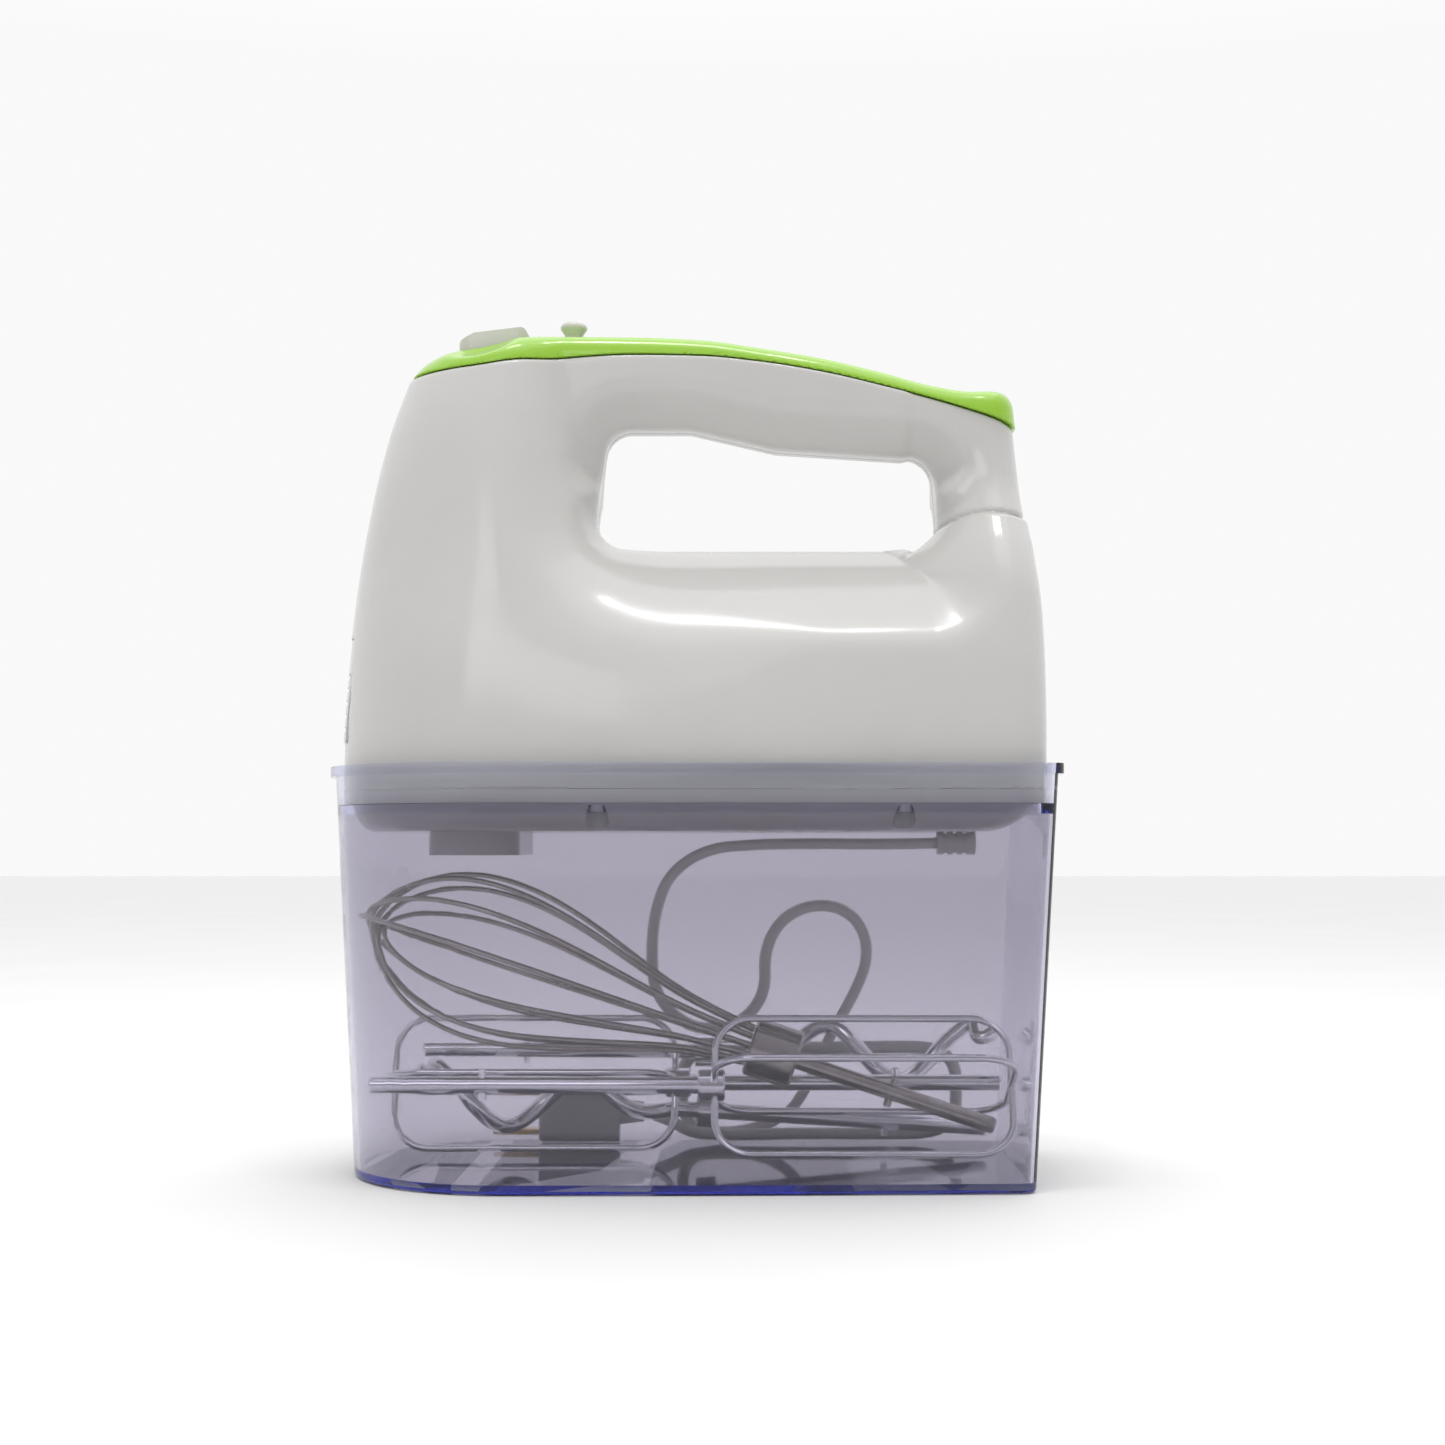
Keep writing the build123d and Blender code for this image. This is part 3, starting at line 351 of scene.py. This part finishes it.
def hermite(points, samples=2000):
    """A smooth function through points that keeps their rises and falls."""
    at, value = (np.array(column, float) for column in zip(*points))
    step = np.diff(at)
    rise = np.diff(value) / step
    slope = np.zeros(len(at))
    slope[0], slope[-1] = rise[0], rise[-1]
    for i in range(1, len(at) - 1):
        if rise[i - 1] * rise[i] > 0:
            slope[i] = 2 * rise[i - 1] * rise[i] / (rise[i - 1] + rise[i])
    fine = np.linspace(at[0], at[-1], samples)
    i = np.clip(np.searchsorted(at, fine) - 1, 0, len(at) - 2)
    t = (fine - at[i]) / step[i]
    height = ((1 + 2 * t) * (1 - t) ** 2 * value[i] + t * (1 - t) ** 2 * step[i] * slope[i]
              + t * t * (3 - 2 * t) * value[i + 1] + t * t * (t - 1) * step[i] * slope[i + 1])
    return lambda x: np.interp(x, fine, height)


def corner_distance(across, down):
    """Distance to a quarter plane, negative inside, from the distances to its two edges."""
    return np.hypot(np.maximum(across, 0), np.maximum(down, 0)) + np.minimum(np.maximum(across, down), 0)


def polygon_distance(corners, inset, x, z):
    """Signed distance, negative inside, to a polygon moved inward by inset and rounded back out by it."""
    moved = []
    count = len(corners)
    for i in range(count):
        a, b, c = (Vector(corners[j % count]) for j in (i - 1, i, i + 1))
        into = (b - a).normalized()
        out = (c - b).normalized()
        left_in, left_out = Vector((-into.y, into.x)), Vector((-out.y, out.x))
        middle = (left_in + left_out).normalized()
        moved.append(b + middle * inset / middle.dot(left_in))
    near = np.full(np.broadcast(x, z).shape, np.inf)
    inside = np.zeros(near.shape, bool)
    for i in range(count):
        (ax, az), (bx, bz) = moved[i - 1], moved[i]
        run, lift = bx - ax, bz - az
        along = np.clip(((x - ax) * run + (z - az) * lift) / (run ** 2 + lift ** 2), 0, 1)
        near = np.minimum(near, np.hypot(x - ax - along * run, z - az - along * lift))
        if lift:
            inside ^= ((az > z) != (bz > z)) & (x < ax + (z - az) * run / lift)
    return np.where(inside, -near, near) - inset


def box_field(x, y, z, low, high, rounding=0.0):
    """Distance to a box, negative inside, with its upright edges rounded."""
    across = np.abs(x - (low[0] + high[0]) / 2) - (high[0] - low[0]) / 2 + rounding
    along = np.abs(y - (low[1] + high[1]) / 2) - (high[1] - low[1]) / 2 + rounding
    return np.maximum(corner_distance(across, along) - rounding, np.maximum(low[2] - z, z - high[2]))


# ------------------------------------------------------------------ housing, in millimetres
nose_x = hermite(((110, -104), (132, -103.6), (155, -102.4), (180, -99.6), (206, -95), (224.6, -90.3),
                  (241.8, -84.2), (262, -77)))
rear_x = hermite(((110, 106), (140, 106.4), (164, 106.2), (184, 105), (203, 103.2), (226, 101), (262, 97)))
shell_top = hermite(((-110, 241.8), (-84.2, 241.8), (-62, 242.8), (-45, 245.2), (-14, 247.3), (5, 247),
                     (23, 245.3), (42, 242.2), (60, 238), (76, 233.8), (101, 226), (112, 222)))
trim_top = hermite(((-92, 242.4), (-86, 244.6), (-80, 247.4), (-66, 250.2), (-50, 252.6), (-38, 253.6),
                    (-14, 253.4), (5, 252.6), (23, 250.2), (42, 247), (60, 242.8), (76, 238.6), (86, 237.2),
                    (97.5, 238.6), (112, 240)))
column_half = hermite(((110, 49.8), (146, 47), (175, 41), (205, 34.5), (230, 28), (245, 23.5), (262, 19)))
wall_half = hermite(((110, 49.9), (130, 49.4), (148, 47.2), (160, 44.8), (175, 39.5), (190, 31), (200, 24.5),
                     (212, 19.5), (226, 17.6), (262, 17)))
saddle_depth = hermite(((0, 0), (7, 4.2), (15, 9.3), (23, 14.8), (29, 19.5), (34, 22), (90, 22)))
rear_seam = hermite(((60, 180), (70.5, 189.5), (78.5, 196), (90, 198.6), (103, 197.4), (112, 196.5)))

HOLE_CORNERS = ((-27.5, 190.5), (77, 190.5), (74.5, 217.5), (28, 220.5), (2, 226.5), (-23, 226.5))
HOLE_ROUND = 8.0
COLUMN_TO_WALL_X = (-58, -12)
SADDLE_LOW_Z = 159
SADDLE_REAR_X = 92.5
SADDLE_CORNER = 20
SADDLE_FADE_X = (-55, 0)
SADDLE_EDGE_FRONT, SADDLE_EDGE_REAR = 18, 4
SADDLE_EDGE_X = (-5, 45)
SADDLE_LEAST_HALF = 8
HANDLE_HALF = 17.0
HANDLE_START_Z = (193, 206)
HANDLE_BLEND = 3
NOSE_LENGTH_LOW, NOSE_LENGTH_HIGH = 48, 34
NOSE_SHORTER_Z = (180, 245)
REAR_NARROWING = 0.07
REAR_NARROWER_X = (20, 106)
REAR_NARROWER_Z = (160, 190)
REAR_CORNER = 14
GRIP_Z = (196, 216)                # the hole's edge is soft below this height and crisp above it
HOLE_EDGE_LOW, HOLE_EDGE_GRIP = 10, 3.5
BEVEL = 6
BEVEL_GRIP_MORE = 5
BEVEL_LOW_LESS = 8
BEVEL_EDGE_LOW, BEVEL_EDGE_GRIP = 4, 2
WALL = 2.4
SHELL_LOW_Z = 116.0
SHELL_TOP_GAP = 0.2
SHELL_TOP_EDGE = 1.2
SHELL_CONTROL_GAP = 0.6
MIDDLE_GAP = 0.05
SEAM_LEG_X = (66, 70)
SEAM_HALF = 0.7
SEAM_STEP = 0.8
GROOVE_DEPTH = 0.7
GROOVE_RISE = 0.4
GROOVE_WIDTH = 0.75
VENT_X = (-120, -98.8)
VENT_GAP = 0.25
TRIM_SLOPE = 1.05
TRIM_EDGE = 7
TRIM_SEAT_GAP = 0.15
TRIM_CONTROL_GAP = 0.5
DISH_AT = (-66, 24, 258.5)
DISH_HALF = (20, 17, 13)
DISH_EDGE = 1.5
STEM_LOW_Z = 236
STEM_CORNER = 4
SLOT_LOW_Z = 230
SLOT_X = (-36, -18)
SLOT_HALF_WIDTH = 2
SLOT_CORNER = 1
TURBO_X = -11.5
TURBO_RADIUS = 1.8
ABOVE_ALL_Z = 300


def half_width(x, z):
    """Half the housing's width: column, walls and the saddle scooped round the finger hole."""
    columnness = 1 - smooth_step(*COLUMN_TO_WALL_X, x)
    wall = wall_half(z) * (1 - columnness) + column_half(z) * columnness
    outside = corner_distance(x - (SADDLE_REAR_X - SADDLE_CORNER),
                              (SADDLE_LOW_Z + SADDLE_CORNER) - z) - SADDLE_CORNER
    edge = blend(SADDLE_EDGE_FRONT, SADDLE_EDGE_REAR, SADDLE_EDGE_X, x)
    depth = saddle_depth(smooth_max(-outside, 0, edge)) * smooth_step(*SADDLE_FADE_X, x)
    return smooth_max(wall - depth, blend(SADDLE_LEAST_HALF, HANDLE_HALF, HANDLE_START_Z, z), HANDLE_BLEND)


def outer_form(x, y, z):
    """The housing's outside, without its top line: nose, sides, rear and finger hole."""
    half = half_width(x, z)
    slope = half_width(x, z + 0.5) - half_width(x, z - 0.5)
    length = blend(NOSE_LENGTH_LOW, NOSE_LENGTH_HIGH, NOSE_SHORTER_Z, z)
    nose = np.minimum((x - nose_x(z) - length) / length, 0)
    narrower = REAR_NARROWING * smooth_step(*REAR_NARROWER_X, x) * (1 - smooth_step(*REAR_NARROWER_Z, z))
    side = (half * (np.sqrt(nose ** 2 + (y / half) ** 2) - 1) + half * narrower) / np.sqrt(1 + slope ** 2)
    side = smooth_max(side, x - rear_x(z), REAR_CORNER)
    hole = -polygon_distance(HOLE_CORNERS, HOLE_ROUND, x, z)
    grip = smooth_step(*GRIP_Z, z)
    form = smooth_max(side, hole, blend(HOLE_EDGE_LOW, HOLE_EDGE_GRIP, GRIP_Z, z))
    bevel = (side + hole + BEVEL + BEVEL_GRIP_MORE * grip) / math.sqrt(2) - BEVEL_LOW_LESS * (1 - grip)
    return smooth_max(form, bevel, blend(BEVEL_EDGE_LOW, BEVEL_EDGE_GRIP, GRIP_Z, z))


def controls_field(x, y, z, gap):
    """The openings over the eject button, the speed knob's slot and the turbo button."""
    least, most = (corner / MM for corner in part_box("eject_button"))
    stem = box_field(x, y, z, (least.x - gap, least.y - gap, STEM_LOW_Z),
                     (most.x + gap, most.y + gap, ABOVE_ALL_Z), STEM_CORNER)
    slot = box_field(x, y, z, (SLOT_X[0] - gap, -SLOT_HALF_WIDTH - gap, SLOT_LOW_Z),
                     (SLOT_X[1] + gap, SLOT_HALF_WIDTH + gap, ABOVE_ALL_Z), SLOT_CORNER)
    turbo = np.maximum(np.hypot(x - TURBO_X, y) - TURBO_RADIUS - gap, SLOT_LOW_Z - z)
    return np.minimum(np.minimum(stem, slot), turbo)


def vent_field(x, y, z):
    """The opening for the grille low on the nose."""
    low, high = (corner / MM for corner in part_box("nose_vent"))
    return box_field(x, y, z, (VENT_X[0], low.y - VENT_GAP, low.z - VENT_GAP),
                     (VENT_X[1], high.y + VENT_GAP, high.z + VENT_GAP))


def shell_field(x, y, z):
    """One half shell, open below, with its rear-leg seam, vent opening and control openings."""
    seam_z = rear_seam(x)
    on_leg = smooth_step(*SEAM_LEG_X, x)
    above = smooth_step(seam_z - SEAM_HALF, seam_z + SEAM_HALF, z) * on_leg
    groove = np.exp(-((z - seam_z - GROOVE_RISE) / GROOVE_WIDTH) ** 2) * on_leg
    outside = smooth_max(outer_form(x, y, z) + SEAM_STEP * above + GROOVE_DEPTH * groove,
                         z - shell_top(x) + SHELL_TOP_GAP, SHELL_TOP_EDGE)
    shell = np.maximum(outside, -(outside + WALL))
    for cut in (SHELL_LOW_Z - z, -controls_field(x, y, z, SHELL_CONTROL_GAP), -vent_field(x, y, z),
                y + MIDDLE_GAP):
        shell = np.maximum(shell, cut)
    return shell


def trim_field(x, y, z):
    """The strip over the nose and handle, with finger dishes each side of the eject button."""
    form = smooth_max(outer_form(x, y, z), (z - trim_top(x)) / TRIM_SLOPE, TRIM_EDGE)
    offsets = (x - DISH_AT[0], np.abs(y) - DISH_AT[1], z - DISH_AT[2])
    reach = np.sqrt(sum((offset / half) ** 2 for offset, half in zip(offsets, DISH_HALF)))
    form = smooth_max(form, -(reach - 1) * DISH_HALF[2], DISH_EDGE)
    form = np.maximum(form, shell_top(x) + TRIM_SEAT_GAP - z)
    return np.maximum(form, -controls_field(x, y, z, TRIM_CONTROL_GAP))


STEP = 0.8
TRIM_STEP = STEP * 0.75
SHELL_BOX = ((-107.0, -52.0, 113.0), (109.0, 1.0, 257.0))
TRIM_BOX = ((-88.0, -30.0, 222.0), (106.0, 30.0, 257.0))
BAND = 4.0                         # the field is kept only this near its surface
DRAWING_ROUNDS = 4
PROBE = 0.02
LEAST_SLOPE_SQUARED = 0.25
LONGEST_MOVE = 0.35                # of a grid step, in one round
SHARP_ANGLE = math.radians(38)


def field_mesh(name, field, box, step, slot, body, mirrored=None):
    """The surface where a field is zero, as one piece, with an optional mirror image."""
    low, high = box
    counts = [int(round((b - a) / step)) + 1 for a, b in zip(low, high)]
    axes = [a + step * np.arange(n) for a, n in zip(low, counts)]
    x, y, z = axes[0][:, None, None], axes[1][None, :, None], axes[2][None, None, :]
    values = np.broadcast_to(field(x, y, z), counts)
    grid = openvdb.FloatGrid(BAND)
    grid.copyFromArray(np.ascontiguousarray(np.clip(values, -BAND, BAND), np.float32))
    points, quads = grid.convertToQuads(0.0)
    places = points * step + np.array(low)
    for _ in range(DRAWING_ROUNDS):
        slopes = np.stack([(field(*(places + shift).T) - field(*(places - shift).T)) / (2 * PROBE)
                           for shift in PROBE * np.eye(3)], axis=1)
        size = np.maximum((slopes ** 2).sum(1), LEAST_SLOPE_SQUARED)
        move = slopes * (field(*places.T) / size)[:, None]
        length = np.maximum(np.sqrt((move ** 2).sum(1)), 1e-9)
        places = places - move * np.minimum(1, LONGEST_MOVE * step / length)[:, None]
    made = [mesh_object(name, places * MM, quads[:, ::-1], slot, body)]
    if mirrored:
        made.append(mesh_object(mirrored, places * (MM, -MM, MM), quads, slot, body))
    for obj in made:
        obj.data.set_sharp_from_angle(angle=SHARP_ANGLE)
    return made


left, right = field_mesh("left_housing", shell_field, SHELL_BOX, STEP, "white_gloss", "mixer",
                         mirrored="right_housing")
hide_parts("left_shell")
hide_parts("right_shell")
(trim,) = field_mesh("green_trim", trim_field, TRIM_BOX, TRIM_STEP, "lime_gloss", "mixer")
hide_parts("top_trim")


# ------------------------------------------------------------------ floor and light
FLOOR_HALF = 6.0
FRONT_GLOW = 0.42
BACK_GLOW = 0.95
OVERHEAD_GLOW = 0.6
FRONT_TO_BACK = (-0.5, 0.6)
LEVEL_TO_OVERHEAD = (0.35, 1.0)


def studio_floor():
    """A wide pale sweep with a faint paper grain."""
    material, shader = new_material("studio_floor")
    grain = noise(material, object_place(material), 8.0, 3.0, 0.5)
    join(material, ramp(material, grain, (0.3, (0.86,) * 3), (0.7, (0.88,) * 3)),
         shader.inputs["Base Color"])
    shader.inputs["Roughness"].default_value = 0.85
    mesh = bpy.data.meshes.new("studio_floor")
    corners = ((-1, -1), (1, -1), (1, 1), (-1, 1))
    mesh.from_pydata([(a * FLOOR_HALF, b * FLOOR_HALF, 0) for a, b in corners], [], [(0, 1, 2, 3)])
    floor = bpy.data.objects.new("studio_floor", mesh)
    bpy.context.collection.objects.link(floor)
    mesh.materials.append(material)


def studio_glow():
    """A white world, dimmer in front of the mixer and brighter behind and overhead."""
    world = bpy.data.worlds.new("studio")
    world.use_nodes = True
    background = world.node_tree.nodes["Background"]
    background.inputs["Color"].default_value = (1.0, 1.0, 1.0, 1)
    directions = add_node(world, "ShaderNodeSeparateXYZ")
    join(world, add_node(world, "ShaderNodeTexCoord").outputs["Generated"], directions.inputs["Vector"])
    depth_glow = spread(world, directions.outputs["Y"], FRONT_GLOW, BACK_GLOW, *FRONT_TO_BACK)
    height_glow = spread(world, directions.outputs["Z"], 0.0, OVERHEAD_GLOW, *LEVEL_TO_OVERHEAD)
    glow = add_node(world, "ShaderNodeMath")
    glow.operation = "ADD"
    join(world, depth_glow, glow.inputs[0])
    join(world, height_glow, glow.inputs[1])
    join(world, glow.outputs["Value"], background.inputs["Strength"])
    bpy.context.scene.world = world


def area_light(name, place, target, size, power):
    data = bpy.data.lights.new(name, "AREA")
    data.shape = "RECTANGLE"
    data.size, data.size_y = size
    data.energy = power
    light = bpy.data.objects.new(name, data)
    light.location = place
    light.rotation_euler = (Vector(target) - Vector(place)).to_track_quat("-Z", "Y").to_euler()
    bpy.context.collection.objects.link(light)


studio_floor()
studio_glow()
area_light("overhead", (0.1, 0.0, 1.3), (0, 0, 0.15), (1.4, 1.0), 3.6)
area_light("front_left", (-0.35, -1.3, 0.75), (0, 0, 0.14), (0.5, 0.5), 1.6)
area_light("lamp_front", (-0.080, -0.22, 1.2), (0, 0, 0.17), (0.05, 0.05), 0.45)
area_light("lamp_middle", (0.014, -0.22, 1.2), (0, 0, 0.17), (0.20, 0.04), 1.0)
area_light("lamp_rear", (0.173, -0.22, 1.2), (0, 0, 0.17), (0.06, 0.06), 0.5)
bpy.context.scene.view_settings.view_transform = "Standard"
